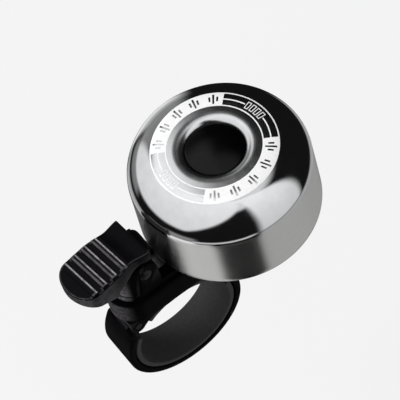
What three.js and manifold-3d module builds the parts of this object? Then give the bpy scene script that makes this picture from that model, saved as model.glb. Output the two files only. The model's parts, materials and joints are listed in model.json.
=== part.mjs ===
// Handlebar bell: a chromed dome on a post, a thumb lever that swings a hammer inside the
// dome, and a strap clamp for a round bar. Millimetres, +Z up, +X along the handlebar,
// -Y towards the rider. The origin is the centre of the clamp's bore.
import * as THREE from "three";
import { mergeVertices } from "three/addons/utils/BufferGeometryUtils.js";
import Module from "manifold-3d";

const wasm = await Module();
wasm.setup();

// ---- driving dimensions -------------------------------------------------------------
const GAP = 0.3; // clearance between pieces that touch
const BAR_R = 12.7; // radius of the handlebar that the clamp fits
const PAD_T = 1.2; // rubber between the bar and the clamp
const SADDLE_R = BAR_R + PAD_T + GAP; // inner radius of the base saddle and the strap

const DOME_Y = 21.5; // bell axis in front of the bar axis
const RIM_Z = 25; // height of the dome's rim above the bar axis
const DOME_R = 21; // outer radius at the rim
const DOME_H = 22.7; // rim to flat top
const DOME_T = 1.4; // sheet thickness
const SHOULDER_R = 8.6; // radius of the shoulder arc
const SHOULDER_C = 12.2; // radius at which the flat top ends and the shoulder starts
const CREASE_R = 20.3; // radius of the crease between shoulder and skirt
const SKIRT_TOP_R = 20.65; // radius of the skirt just under the crease
const RECESS_R = 6.8; // radius of the well in the dome's middle
const FUNNEL_C = 8.65; // radius at which the flat top ends and the fillet into the well starts
const FUNNEL_R = 2.3; // radius of that fillet
const CAP_TOP = 22.55; // middle of the cap, above the rim
const CAP_EDGE = 21.8; // edge of the cap, above the rim
const CAP_CEILING = 21; // underside of the cap's crown
const SEAT_Z = 15.6; // upper face of the well's floor, above the rim
const SEAT_HOLE_R = 3.4;
const SCREW_HEAD_R = 3.5; // heads of the dome screw and the clamp screw
const WASHER_T = 0.8;
const ISOLATOR_T = 1.6; // rubber between the post and the dome

const BASE_HALF = 6.1; // half the width of the base
const BASE_Z0 = 13.8; // underside of the base
const BASE_Z1 = 23.3; // top of the base
const BASE_Y0 = -13.8; // rider's end of the base
const LEDGE_Z = 21.4; // a ledge runs round the base at this height
const LEDGE = 1.8; // width of the ledge at the rider's end
const CHEEK_HALF = 5.3; // outer half width of the pivot cheeks
const CHEEK_R = 3.2; // round top of the cheeks, about the pivot
const CHEEK_FRONT_Z = 28; // height of the cheeks at the rider's end
const SLOT_HALF = 3.15; // half width of the slot between the cheeks
const SLOT_Y0 = -9.5; // slot for the lever's hub and the hammer arm
const SLOT_Y1 = 12.5;
const SLOT_FLOOR = 15.8;
const POST_R = 5; // post under the dome
const POST_TOP = RIM_Z + SEAT_Z - DOME_T - ISOLATOR_T - GAP;
const INSERT_R = 3; // threaded insert in the post

const PIVOT_Y = -5; // lever pivot
const PIVOT_Z = 29.5;
const PIN_R = 1.2;
const BUSH_R = 2;
const HUB_R = 3;
const HUB_X0 = -2.85; // the hub fills one side of the slot, the spring the other
const HUB_X1 = 0.2;

const LEVER_HALF = 5.9; // half width of the thumb plate
const LEVER_T = 3; // thickness of the thumb plate
const LEVER_TOP = RIM_Z + 12.1; // flat of the thumb plate
const LEVER_Y1 = -2.9; // plate edge beside the dome
const LEVER_BEND_Y = -8.2; // where the ribbed slope starts
const LEVER_TIP_Y = -22;
const HOOD_Y = -12.9; // the lever's deep front ends here, clear of the cheeks
const HOOD_Z = 29.4; // underside of the deep front at that end
const HOOD_TIP_Z = 31.8; // and at the tip
const LEVER_SLOPE = 0.225; // fall of the ribbed slope per millimetre
const RIB_PITCH = 2.75;
const RIB_LAND = 1.05;
const RIB_H = 0.55;
const RIB_COUNT = 4;

const ARM_T = 0.8; // hammer arm, a bent spring-steel strip
const ARM_X = -0.8; // middle of the arm's width
const ARM_HALF = 2;
const ARM_ROOT_Y = -4.2; // where the arm leaves the hub
const ARM_ROOT_Z = 24.6;
const ARM_LOW_Z = 20.8;
const HEAD_Y = 7.6; // hammer head
const HEAD_Z = 37.5;
const HEAD_R = 2.4;
const RIVET_Y = -6;
const RIVET_R = 0.8;

const STRAP_HALF = 5.2;
const STRAP_T = 1.8;
const HINGE_Y = -10.9; // strap hinge pin
const HINGE_Z = 12.1;
const HINGE_PIN_R = 0.9;
const KNUCKLE_R = 1.9;
const KNUCKLE_HALF = 2.4; // half width of the strap's knuckle
const LUG_HALF = 5.5; // half width of the hinge lug
const SCREW_Y = 20.2; // clamp screw axis
const EAR_Z0 = 3.2;
const EAR_Z1 = 6;
const PILLAR_Z0 = 7.4;
const PILLAR_Y0 = 9; // the pillar that the clamp screw runs into
const PILLAR_END = 4.6; // how far it reaches past the screw
const PILLAR_HALF = 5.6;
const WEB_END = 9.5; // ends of the web over the rubber
const WEB_Z0 = 8;
const SCREW_R = 2; // M4 shank
const SCREW_HOLE = 2.7;
const NUT_SIDE = 7;
const NUT_Z0 = 9;
const NUT_T = 3.2;

const TURN = Math.PI * 2;

// ---- materials ----------------------------------------------------------------------
const finish = (color, roughness, metalness) =>
  new THREE.MeshStandardMaterial({ color, roughness, metalness });
const CHROME = finish(0xc9ccd0, 0.12, 1);
const STEEL = finish(0x9a9c9f, 0.3, 1);
const BLACK_STEEL = finish(0x1a1a1c, 0.4, 1);
const BRASS = finish(0xb08d4a, 0.35, 1);
const PLASTIC = finish(0x15151a, 0.45, 0);
const GLOSS_PLASTIC = finish(0x08080a, 0.15, 0);
const RUBBER = finish(0x1c1c1e, 0.8, 0);

// ---- helpers ------------------------------------------------------------------------
function solid(geometry) {
  const bare = geometry.clone();
  for (const name of ["normal", "uv"]) bare.deleteAttribute(name);
  const merged = mergeVertices(bare, 1e-4);
  const triVerts = new Uint32Array(merged.index.array);
  const vertProperties = new Float32Array(merged.attributes.position.array);
  return new wasm.Manifold(new wasm.Mesh({ numProp: 3, vertProperties, triVerts }));
}

function geometryOf(manifold) {
  const mesh = manifold.getMesh();
  const geometry = new THREE.BufferGeometry();
  geometry.setAttribute("position", new THREE.BufferAttribute(mesh.vertProperties, 3));
  geometry.setIndex(new THREE.BufferAttribute(mesh.triVerts, 1));
  return geometry;
}

// An outline in the YZ plane, extruded along X from x0 to x1.
function alongX(points, x0, x1) {
  const shape = new THREE.Shape(points.map(([y, z]) => new THREE.Vector2(y, z)));
  const geometry = new THREE.ExtrudeGeometry(shape, { depth: x1 - x0, bevelEnabled: false });
  geometry.applyMatrix4(new THREE.Matrix4().set(0, 0, 1, x0, 1, 0, 0, 0, 0, 1, 0, 0, 0, 0, 0, 1));
  return solid(geometry);
}

// An outline in the XY plane, extruded up from z0 to z1.
function alongZ(points, z0, z1) {
  const shape = new THREE.Shape(points.map(([x, y]) => new THREE.Vector2(x, y)));
  const geometry = new THREE.ExtrudeGeometry(shape, { depth: z1 - z0, bevelEnabled: false });
  return solid(geometry.translate(0, 0, z0));
}

function arcPoints(cy, cz, radius, from, to, steps) {
  const points = [];
  for (let i = 0; i <= steps; i += 1) {
    const angle = from + ((to - from) * i) / steps;
    points.push([cy + radius * Math.cos(angle), cz + radius * Math.sin(angle)]);
  }
  return points;
}

function discX(y, z, radius, x0, x1, sides = 24) {
  return alongX(arcPoints(y, z, radius, 0, TURN * (1 - 1 / sides), sides - 1), x0, x1);
}

function discZ(y, radius, z0, z1, sides = 24) {
  const circle = arcPoints(0, y, radius, 0, TURN * (1 - 1 / sides), sides - 1);
  return alongZ(circle, z0, z1);
}

function box(x0, x1, y0, y1, z0, z1) {
  return alongZ([[x0, y0], [x1, y0], [x1, y1], [x0, y1]], z0, z1);
}

// A stadium outline along Y with round ends of the given half width.
function stadium(half, y0, y1) {
  const far = arcPoints(0, y1 - half, half, 0, Math.PI, 14);
  const near = arcPoints(0, y0 + half, half, Math.PI, TURN, 14);
  return [...far, ...near];
}

function ringZ(y, outer, inner, z0, z1, sides = 24) {
  return discZ(y, outer, z0, z1, sides).subtract(discZ(y, inner, z0 - 1, z1 + 1, sides));
}

// A closed (radius, height) profile turned about the bell axis.
function turned(profile, segments) {
  const points = profile.map(([r, z]) => new THREE.Vector2(r, z));
  const geometry = new THREE.LatheGeometry(points, segments);
  return solid(geometry.rotateX(Math.PI / 2).translate(0, DOME_Y, RIM_Z));
}

// ---- the bell -----------------------------------------------------------------------
function domeProfile() {
  const outerShoulder = arcPoints(SHOULDER_C, DOME_H - SHOULDER_R, SHOULDER_R, 0.345, Math.PI / 2, 9);
  const inner = SHOULDER_R - DOME_T;
  const innerShoulder = arcPoints(SHOULDER_C, DOME_H - SHOULDER_R, inner, 0.38, Math.PI / 2, 8);
  const funnelEnd = Math.PI - Math.acos((FUNNEL_C - RECESS_R) / FUNNEL_R);
  const funnel = arcPoints(FUNNEL_C, DOME_H - FUNNEL_R, FUNNEL_R, Math.PI / 2, funnelEnd, 5);
  const wallIn = RECESS_R + DOME_T;
  return [
    [DOME_R, 0],
    [SKIRT_TOP_R, 15.9],
    [CREASE_R + 0.22, 16.65],
    ...outerShoulder,
    ...funnel,
    [RECESS_R, SEAT_Z + 0.6],
    [RECESS_R - 0.6, SEAT_Z],
    [SEAT_HOLE_R, SEAT_Z],
    [SEAT_HOLE_R, SEAT_Z - DOME_T],
    [wallIn - 0.6, SEAT_Z - DOME_T],
    [wallIn, SEAT_Z - DOME_T + 0.6],
    [wallIn, DOME_H - DOME_T - 1],
    [wallIn + 1, DOME_H - DOME_T],
    ...innerShoulder.reverse(),
    [SKIRT_TOP_R - DOME_T, 15.9],
    [DOME_R - DOME_T, 0],
    [DOME_R, 0],
  ];
}

const bellDome = () => turned(domeProfile(), 48);

// A cup over the dome's screw, with a slightly crowned face.
function centreCap() {
  const outer = RECESS_R - GAP;
  const lip = outer - 1;
  const foot = SEAT_Z + 0.8;
  const crownR = (outer ** 2 / (CAP_TOP - CAP_EDGE) + CAP_TOP - CAP_EDGE) / 2;
  const edge = Math.PI / 2 - Math.asin(outer / crownR);
  const crown = arcPoints(0, CAP_TOP - crownR, crownR, edge, Math.PI / 2, 4);
  return turned(
    [
      [lip, foot],
      [outer, foot],
      ...crown.map(([r, z]) => [Math.max(r, 0), z]),
      [0, CAP_CEILING],
      [lip, CAP_CEILING],
      [lip, foot],
    ],
    36,
  );
}

const fromRim = (z) => RIM_Z + z;

function isolator() {
  const flange = ringZ(DOME_Y, 5.6, 2.4, POST_TOP + GAP, fromRim(SEAT_Z - DOME_T) - GAP);
  const collar = ringZ(DOME_Y, 3.1, 2.4, POST_TOP + 1, fromRim(SEAT_Z) + 0.1);
  return flange.add(collar);
}

const flatWasher = () => ringZ(DOME_Y, 5.2, 2.4, fromRim(SEAT_Z) + 0.4, fromRim(SEAT_Z) + 0.4 + WASHER_T);

// A split spring washer: one slot cut through the ring.
function springWasher() {
  const z = fromRim(SEAT_Z) + 1.5;
  const slot = box(0, 5, DOME_Y - 0.4, DOME_Y + 0.4, z - 1, z + 2);
  return ringZ(DOME_Y, 3.7, 2.3, z, z + 0.7).subtract(slot);
}

function domeScrew() {
  const seat = fromRim(SEAT_Z) + 2.5;
  const head = discZ(DOME_Y, SCREW_HEAD_R, seat, seat + 1.6);
  const shank = discZ(DOME_Y, SCREW_R, RIM_Z + 2, seat + 0.5, 16);
  const slotA = box(-0.4, 0.4, DOME_Y - 2, DOME_Y + 2, seat + 0.7, seat + 3);
  const slotB = box(-2, 2, DOME_Y - 0.4, DOME_Y + 0.4, seat + 0.7, seat + 3);
  return head.add(shank).subtract(slotA).subtract(slotB);
}

const threadedInsert = () => ringZ(DOME_Y, INSERT_R, SCREW_R + GAP, RIM_Z + 1.2, POST_TOP - 0.4);

// ---- the base -----------------------------------------------------------------------
function cheekOutline() {
  return [
    [BASE_Y0, BASE_Z1 - 1],
    [PIVOT_Y + CHEEK_R, BASE_Z1 - 1],
    ...arcPoints(PIVOT_Y, PIVOT_Z, CHEEK_R, 0, Math.PI * 0.62, 8),
    [BASE_Y0, CHEEK_FRONT_Z],
  ];
}

function pillar() {
  const outline = [
    [PILLAR_Y0, BASE_Z0 + 1],
    [PILLAR_Y0, PILLAR_Z0],
    [SCREW_Y + PILLAR_END, PILLAR_Z0],
    [SCREW_Y + PILLAR_END, BASE_Z0 + 1],
  ];
  return alongX(outline, -PILLAR_HALF, PILLAR_HALF);
}

// The web between the base's flat underside and the rubber on the bar.
const saddleWeb = () => box(-STRAP_HALF, STRAP_HALF, -WEB_END, WEB_END, WEB_Z0, BASE_Z0 + 1);

function hingeLug() {
  const foot = box(-LUG_HALF, LUG_HALF, HINGE_Y - KNUCKLE_R, HINGE_Y + KNUCKLE_R, HINGE_Z, BASE_Z0 + 1);
  const barrel = discX(HINGE_Y, HINGE_Z, KNUCKLE_R, -LUG_HALF, LUG_HALF, 20);
  return foot.add(barrel);
}

// The strap's knuckle turns in this slot in the middle of the hinge lug.
const knuckleSlot = () =>
  box(-KNUCKLE_HALF - GAP, KNUCKLE_HALF + GAP, HINGE_Y - 4.1, HINGE_Y + 2.7, HINGE_Z - 3, BASE_Z0 + 0.5);

function baseBody() {
  const end = DOME_Y + BASE_HALF;
  const block = alongZ(stadium(BASE_HALF, BASE_Y0, end), BASE_Z0, LEDGE_Z);
  const upperPlan = stadium(CHEEK_HALF, BASE_Y0 + LEDGE, end - BASE_HALF + CHEEK_HALF);
  const upper = alongZ(upperPlan, LEDGE_Z - 1, BASE_Z1);
  const cheekPlan = alongZ(stadium(CHEEK_HALF, BASE_Y0 + LEDGE, 4), BASE_Z0 + 1, PIVOT_Z + 8);
  const cheeks = alongX(cheekOutline(), -CHEEK_HALF, CHEEK_HALF).intersect(cheekPlan);
  const post = discZ(DOME_Y, POST_R, BASE_Z1 - 1, POST_TOP);
  const slot = box(-SLOT_HALF, SLOT_HALF, SLOT_Y0, SLOT_Y1, SLOT_FLOOR, PIVOT_Z + 9);
  const insertBore = discZ(DOME_Y, INSERT_R + GAP, RIM_Z + 0.9, POST_TOP + 1);
  const saddle = discX(0, 0, SADDLE_R, -10, 10, 56);
  const pinBore = discX(PIVOT_Y, PIVOT_Z, PIN_R + GAP, -10, 10, 16);
  const hingeBore = discX(HINGE_Y, HINGE_Z, HINGE_PIN_R + GAP, -10, 10, 16);
  const screwBore = discZ(SCREW_Y, SCREW_HOLE, PILLAR_Z0 - 1, BASE_Z0, 20);
  const side = NUT_SIDE / 2 + GAP;
  const nutPocket = box(-side, side, SCREW_Y - side, SCREW_Y + 6, NUT_Z0 - GAP, NUT_Z0 + NUT_T + GAP);
  return block
    .add(upper)
    .add(cheeks)
    .add(post)
    .add(pillar())
    .add(saddleWeb())
    .add(hingeLug())
    .subtract(slot)
    .subtract(insertBore)
    .subtract(saddle)
    .subtract(pinBore)
    .subtract(knuckleSlot())
    .subtract(hingeBore)
    .subtract(screwBore)
    .subtract(nutPocket);
}

// ---- the lever and the hammer -------------------------------------------------------
const slopeTop = (y) => LEVER_TOP + (y - LEVER_BEND_Y) * LEVER_SLOPE;

function leverProfile() {
  const points = [[LEVER_Y1, LEVER_TOP - LEVER_T], [LEVER_Y1, LEVER_TOP], [LEVER_BEND_Y, LEVER_TOP]];
  for (let i = 0; i < RIB_COUNT; i += 1) {
    const y = LEVER_BEND_Y - 0.8 - i * RIB_PITCH;
    points.push([y, slopeTop(y)]);
    points.push([y - 0.15, slopeTop(y) + RIB_H]);
    points.push([y - RIB_LAND, slopeTop(y - RIB_LAND) + RIB_H]);
    points.push([y - RIB_LAND - 0.15, slopeTop(y - RIB_LAND)]);
  }
  points.push([LEVER_TIP_Y, slopeTop(LEVER_TIP_Y)]);
  points.push([LEVER_TIP_Y, HOOD_TIP_Z]);
  points.push([HOOD_Y, HOOD_Z]);
  points.push([HOOD_Y, slopeTop(HOOD_Y) - LEVER_T]);
  points.push([LEVER_BEND_Y, LEVER_TOP - LEVER_T]);
  return points;
}

// Half of the plate's plan, from the edge by the dome to the tip: waist, bulge and round tip.
function leverPlan() {
  const bulge = LEVER_HALF + 0.3;
  const tip = arcPoints(0, LEVER_TIP_Y + LEVER_HALF, LEVER_HALF, TURN * 0.75, TURN - 0.15, 7);
  const side = [
    ...tip,
    [bulge, -13.4],
    [bulge, -11.6],
    [LEVER_HALF - 0.5, -9.8],
    [LEVER_HALF - 0.8, LEVER_BEND_Y],
    [LEVER_HALF - 0.6, -5.4],
    [LEVER_HALF, LEVER_Y1 + 1],
  ];
  const mirrored = side.slice(1).map(([x, y]) => [-x, y]);
  return [...side, ...mirrored.reverse()];
}

// The hollow under the lever's deep front, open towards the cheeks and below.
function hoodHollow() {
  const y0 = LEVER_TIP_Y + LEVER_T;
  const outline = [
    [y0, HOOD_Z - 2],
    [HOOD_Y + 1, HOOD_Z - 2],
    [HOOD_Y + 1, slopeTop(HOOD_Y) - LEVER_T],
    [y0, slopeTop(y0) - LEVER_T],
  ];
  return alongX(outline, -LEVER_HALF + 1.6, LEVER_HALF - 1.6);
}

function lever() {
  const plate = alongX(leverProfile(), -LEVER_HALF - 1, LEVER_HALF + 1).subtract(hoodHollow());
  const plan = alongZ(leverPlan(), LEVER_TOP - 15, LEVER_TOP + 3);
  const hub = discX(PIVOT_Y, PIVOT_Z, HUB_R, HUB_X0, HUB_X1, 28);
  const web = box(HUB_X0, HUB_X1, PIVOT_Y - HUB_R, PIVOT_Y + HUB_R, PIVOT_Z, LEVER_TOP - 1);
  const footZ = ARM_ROOT_Z + ARM_T / 2 + GAP;
  const foot = box(HUB_X0, HUB_X1, RIVET_Y - 1.6, ARM_ROOT_Y + 0.8, footZ, PIVOT_Z);
  const heel = box(-2.6, 3.1, LEVER_Y1 - 4, -1.2, LEVER_TOP - 4.2, LEVER_TOP - 1.2);
  const bore = discX(PIVOT_Y, PIVOT_Z, BUSH_R + GAP, -10, 10, 24);
  const rivetBore = rivetRod(RIVET_R + GAP, ARM_ROOT_Z - 1, PIVOT_Z - 1.9);
  return plate.intersect(plan).add(hub).add(web).add(foot).add(heel).subtract(bore).subtract(rivetBore);
}

function leverBush() {
  const sleeve = discX(PIVOT_Y, PIVOT_Z, BUSH_R, HUB_X0 + 0.1, HUB_X1 - 0.1);
  return sleeve.subtract(discX(PIVOT_Y, PIVOT_Z, PIN_R + GAP, -9, 9));
}

function pivotPin() {
  const shaft = discX(PIVOT_Y, PIVOT_Z, PIN_R, -CHEEK_HALF - 1.1, CHEEK_HALF + 0.9, 20);
  const head = discX(PIVOT_Y, PIVOT_Z, 2, CHEEK_HALF + GAP, CHEEK_HALF + 1, 24);
  const groove = discX(PIVOT_Y, PIVOT_Z, 3, -CHEEK_HALF - 0.8, -CHEEK_HALF - 0.2, 20);
  const core = discX(PIVOT_Y, PIVOT_Z, 0.8, -CHEEK_HALF - 2, 0, 20);
  return shaft.subtract(groove.subtract(core)).add(head);
}

// An E-clip: a ring with its mouth open towards -Y, in the pin's groove.
function pivotClip() {
  const x0 = -CHEEK_HALF - 0.7;
  const x1 = -CHEEK_HALF - GAP;
  const ring = discX(PIVOT_Y, PIVOT_Z, 2.1, x0, x1).subtract(discX(PIVOT_Y, PIVOT_Z, 0.8 + GAP, -9, 9));
  return ring.subtract(box(-9, 9, PIVOT_Y - 4, PIVOT_Y, PIVOT_Z - 0.9, PIVOT_Z + 0.9));
}

// Torsion spring: coils round the pin, one leg under the thumb plate, one on the slot's front wall.
class SpringPath extends THREE.Curve {
  getPoint(t) {
    const turns = 2.5;
    const leg = 0.14;
    const radius = 2;
    const x0 = 0.7;
    const x1 = 2.45;
    const s = THREE.MathUtils.clamp((t - leg) / (1 - 2 * leg), 0, 1);
    const angle = Math.PI / 2 + s * turns * TURN;
    const point = new THREE.Vector3(
      x0 + (x1 - x0) * s,
      PIVOT_Y + radius * Math.cos(angle),
      PIVOT_Z + radius * Math.sin(angle),
    );
    const out = Math.max(leg - t, t - (1 - leg), 0) / leg;
    point.y -= out * (t < 0.5 ? 3.6 : 4);
    point.z += t < 0.5 ? out * 1.7 : -out * 0.6;
    return point;
  }
}

function torsionSpring() {
  const hexagon = arcPoints(0, 0, 0.33, 0, TURN * (5 / 6), 5);
  const section = new THREE.Shape(hexagon.map(([x, y]) => new THREE.Vector2(x, y)));
  const geometry = new THREE.ExtrudeGeometry(section, {
    steps: 72,
    bevelEnabled: false,
    extrudePath: new SpringPath(),
  });
  return solid(geometry);
}

// The arm's centre line in the YZ plane: root under the hub, dip under the rim, rise to the head.
function armLine() {
  return [
    [RIVET_Y - 1.6, ARM_ROOT_Z],
    ...arcPoints(ARM_ROOT_Y, ARM_ROOT_Z - 1.2, 1.2, Math.PI / 2, Math.PI / 6, 3),
    ...arcPoints(ARM_ROOT_Y + 3.9, ARM_LOW_Z + 1.6, 1.6, Math.PI * (7 / 6), Math.PI * 1.5, 3),
    ...arcPoints(HEAD_Y - 2.4, ARM_LOW_Z + 2.4, 2.4, -Math.PI / 2, 0, 5),
    [HEAD_Y, HEAD_Z + 0.5],
  ];
}

function stripOutline(line, thickness) {
  const left = [];
  const right = [];
  line.forEach(([y, z], i) => {
    const [y0, z0] = line[Math.max(i - 1, 0)];
    const [y1, z1] = line[Math.min(i + 1, line.length - 1)];
    const length = Math.hypot(y1 - y0, z1 - z0);
    const offsetY = (-(z1 - z0) / length) * (thickness / 2);
    const offsetZ = ((y1 - y0) / length) * (thickness / 2);
    left.push([y + offsetY, z + offsetZ]);
    right.unshift([y - offsetY, z - offsetZ]);
  });
  return [...left, ...right];
}

function rivetRod(radius, z0, z1, sides = 12) {
  return discZ(RIVET_Y, radius, z0, z1, sides).translate(ARM_X, 0, 0);
}

function hammerArm() {
  const strip = alongX(stripOutline(armLine(), ARM_T), ARM_X - ARM_HALF, ARM_X + ARM_HALF);
  return strip.subtract(rivetRod(RIVET_R + GAP, ARM_ROOT_Z - 2, ARM_ROOT_Z + 2));
}

function armRivet() {
  const shank = rivetRod(RIVET_R, ARM_ROOT_Z - 1, PIVOT_Z - 2.4);
  const head = rivetRod(1.5, ARM_ROOT_Z - 1.4, ARM_ROOT_Z - ARM_T / 2 - GAP, 16);
  return shank.add(head);
}

// A slug with a slot in its underside that takes the arm's end.
function hammerHead() {
  const half = ARM_HALF - 0.1;
  const slug = discX(HEAD_Y, HEAD_Z, HEAD_R, ARM_X - half, ARM_X + half, 24);
  const slotHalf = ARM_T / 2 + GAP;
  return slug.subtract(box(-9, 9, HEAD_Y - slotHalf, HEAD_Y + slotHalf, HEAD_Z - 5, HEAD_Z + 0.5 + GAP));
}

// ---- the clamp ----------------------------------------------------------------------
function clampStrap() {
  const from = Math.atan2(HINGE_Z, HINGE_Y) + 0.06;
  const to = TURN + 0.3;
  const outer = arcPoints(0, 0, SADDLE_R + STRAP_T, from, to, 40);
  const inner = arcPoints(0, 0, SADDLE_R, to, from, 40);
  const band = alongX([...outer, ...inner], -STRAP_HALF, STRAP_HALF);
  const beside = (x0, x1) => box(x0, x1, -20, -5, HINGE_Z - 3.4, 20);
  const neckCut = beside(-9, -KNUCKLE_HALF).add(beside(KNUCKLE_HALF, 9));
  const knuckle = discX(HINGE_Y, HINGE_Z, KNUCKLE_R - 0.2, -KNUCKLE_HALF, KNUCKLE_HALF, 20);
  const ear = alongZ(earPlan(), EAR_Z0, EAR_Z1).subtract(discX(0, 0, SADDLE_R, -9, 9, 56));
  const pinBore = discX(HINGE_Y, HINGE_Z, HINGE_PIN_R + GAP, -9, 9, 16);
  const screwBore = discZ(SCREW_Y, SCREW_R + GAP, EAR_Z0 - 1, EAR_Z1 + 1, 20);
  return band.subtract(neckCut).add(knuckle).add(ear).subtract(pinBore).subtract(screwBore);
}

function earPlan() {
  const tip = arcPoints(0, SCREW_Y, STRAP_HALF, 0, Math.PI, 12);
  return [...tip, [-STRAP_HALF, 11], [STRAP_HALF, 11]];
}

function hingePin() {
  return discX(HINGE_Y, HINGE_Z, HINGE_PIN_R, -BASE_HALF + 0.8, BASE_HALF - 0.8, 16);
}

function clampScrew() {
  const seat = EAR_Z0 - GAP - WASHER_T - GAP;
  const shank = discZ(SCREW_Y, SCREW_R, seat - 0.5, BASE_Z0 - 0.7, 20);
  const head = discZ(SCREW_Y, SCREW_HEAD_R, seat - 2.2, seat);
  const socket = alongZ(arcPoints(0, SCREW_Y, 1.5, 0, (TURN * 5) / 6, 5), seat - 3, seat - 0.9);
  return shank.add(head).subtract(socket);
}

const clampWasher = () => ringZ(SCREW_Y, 4, SCREW_R + GAP, EAR_Z0 - GAP - WASHER_T, EAR_Z0 - GAP);

function clampNut() {
  const half = NUT_SIDE / 2;
  const body = box(-half, half, SCREW_Y - half, SCREW_Y + half, NUT_Z0, NUT_Z0 + NUT_T);
  return body.subtract(discZ(SCREW_Y, SCREW_R + GAP, NUT_Z0 - 1, NUT_Z0 + NUT_T + 1, 20));
}

function padArc(from, to, half) {
  const outer = arcPoints(0, 0, BAR_R + PAD_T, from, to, 24);
  const inner = arcPoints(0, 0, BAR_R, to, from, 24);
  return alongX([...outer, ...inner], -half, half);
}

const upperPad = () => padArc(0.6, 2.2, STRAP_HALF);
const lowerPad = () => padArc(2.62, TURN + 0.28, STRAP_HALF);

// ---- assembly -----------------------------------------------------------------------
const PIECES = [
  ["bell_dome", bellDome, CHROME],
  ["centre_cap", centreCap, GLOSS_PLASTIC],
  ["dome_screw", domeScrew, STEEL],
  ["spring_washer", springWasher, STEEL],
  ["flat_washer", flatWasher, STEEL],
  ["dome_isolator", isolator, RUBBER],
  ["threaded_insert", threadedInsert, BRASS],
  ["base_body", baseBody, PLASTIC],
  ["thumb_lever", lever, PLASTIC],
  ["lever_bush", leverBush, BRASS],
  ["pivot_pin", pivotPin, BLACK_STEEL],
  ["pivot_clip", pivotClip, STEEL],
  ["torsion_spring", torsionSpring, STEEL],
  ["hammer_arm", hammerArm, STEEL],
  ["arm_rivet", armRivet, STEEL],
  ["hammer_head", hammerHead, BRASS],
  ["clamp_strap", clampStrap, PLASTIC],
  ["strap_hinge_pin", hingePin, STEEL],
  ["clamp_screw", clampScrew, STEEL],
  ["clamp_washer", clampWasher, STEEL],
  ["clamp_nut", clampNut, STEEL],
  ["bar_pad_upper", upperPad, RUBBER],
  ["bar_pad_lower", lowerPad, RUBBER],
];

const bell = new THREE.Group();
for (const [name, make, material] of PIECES) {
  const mesh = new THREE.Mesh(geometryOf(make()), material);
  mesh.name = name;
  bell.add(mesh);
}

export default bell;
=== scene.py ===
"""Looks for the handlebar bell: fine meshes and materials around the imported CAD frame."""

import json
import math

import bmesh
import bpy
from mathutils import Matrix, Vector


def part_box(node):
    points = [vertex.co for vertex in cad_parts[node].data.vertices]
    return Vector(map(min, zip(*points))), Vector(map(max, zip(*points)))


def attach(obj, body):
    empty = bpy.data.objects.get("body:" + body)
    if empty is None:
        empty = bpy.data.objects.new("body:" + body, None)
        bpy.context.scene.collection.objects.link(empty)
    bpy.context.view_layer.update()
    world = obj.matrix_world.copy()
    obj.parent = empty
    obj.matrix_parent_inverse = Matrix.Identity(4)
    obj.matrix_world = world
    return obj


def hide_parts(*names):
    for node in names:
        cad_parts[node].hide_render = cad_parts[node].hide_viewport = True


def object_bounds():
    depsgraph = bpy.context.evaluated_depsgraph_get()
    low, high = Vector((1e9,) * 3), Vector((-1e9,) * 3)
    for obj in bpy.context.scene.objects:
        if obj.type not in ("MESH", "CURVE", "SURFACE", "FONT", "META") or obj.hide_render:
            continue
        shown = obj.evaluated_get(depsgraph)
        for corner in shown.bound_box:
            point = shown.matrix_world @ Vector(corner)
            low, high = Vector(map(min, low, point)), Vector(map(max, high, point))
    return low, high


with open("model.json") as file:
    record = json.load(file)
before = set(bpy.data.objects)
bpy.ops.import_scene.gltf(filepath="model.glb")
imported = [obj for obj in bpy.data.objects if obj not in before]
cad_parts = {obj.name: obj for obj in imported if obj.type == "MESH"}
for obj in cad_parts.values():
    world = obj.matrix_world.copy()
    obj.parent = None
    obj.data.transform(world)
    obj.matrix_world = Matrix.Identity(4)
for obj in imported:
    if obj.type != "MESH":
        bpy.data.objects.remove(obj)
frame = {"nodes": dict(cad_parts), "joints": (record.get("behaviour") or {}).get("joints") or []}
cad_box = [list(corner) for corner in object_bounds()]

MM = 0.001  # a millimetre in metres
TURN = 2 * math.pi

# ---- sizes in millimetres, from the frame ---------------------------------------------
def node_mm(node):
    """Lowest and highest corner of a CAD node, in millimetres."""
    low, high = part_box(node)
    return [c / MM for c in low], [c / MM for c in high]


def joint_mm(name):
    """Where a joint turns, in millimetres."""
    joint = next(j for j in frame["joints"] if j["name"] == name)
    return [c / MM for c in joint["pos_m"]]


DOME_LOW, DOME_HIGH = node_mm("bell_dome")
DOME_R = (DOME_HIGH[0] - DOME_LOW[0]) / 2
DOME_Y = (DOME_HIGH[1] + DOME_LOW[1]) / 2
RIM_Z = DOME_LOW[2]
DOME_H = DOME_HIGH[2] - DOME_LOW[2]
DOME_T = 1.4  # wall thickness
_, PIVOT_Y, PIVOT_Z = joint_mm("lever_press")
_, HINGE_Y, HINGE_Z = joint_mm("strap_hinge")
BASE_LOW, BASE_HIGH = node_mm("base_body")
LEVER_LOW, LEVER_HIGH = node_mm("thumb_lever")
BASE_Z0, BASE_Z1 = 13.8, 23.3
LEDGE_Z = 21.4  # a ledge runs round the base here

# ---- mesh helpers ----------------------------------------------------------------------
def make_object(name, verts, faces, sharp=35):
    """A mesh object from points in millimetres, smooth except at edges sharper than the angle."""
    mesh = bpy.data.meshes.new(name)
    mesh.from_pydata([[c * MM for c in v] for v in verts], [], faces)
    obj = bpy.data.objects.new(name, mesh)
    bpy.context.scene.collection.objects.link(obj)
    tidy(obj, sharp)
    return obj


def tidy(obj, sharp=35):
    """Merges double points, points the faces out and marks sharp edges."""
    bm = bmesh.new()
    bm.from_mesh(obj.data)
    bmesh.ops.remove_doubles(bm, verts=bm.verts, dist=1e-7)
    bmesh.ops.recalc_face_normals(bm, faces=bm.faces)
    bm.to_mesh(obj.data)
    bm.free()
    obj.data.shade_smooth()
    obj.data.set_sharp_from_angle(angle=math.radians(sharp))


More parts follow.
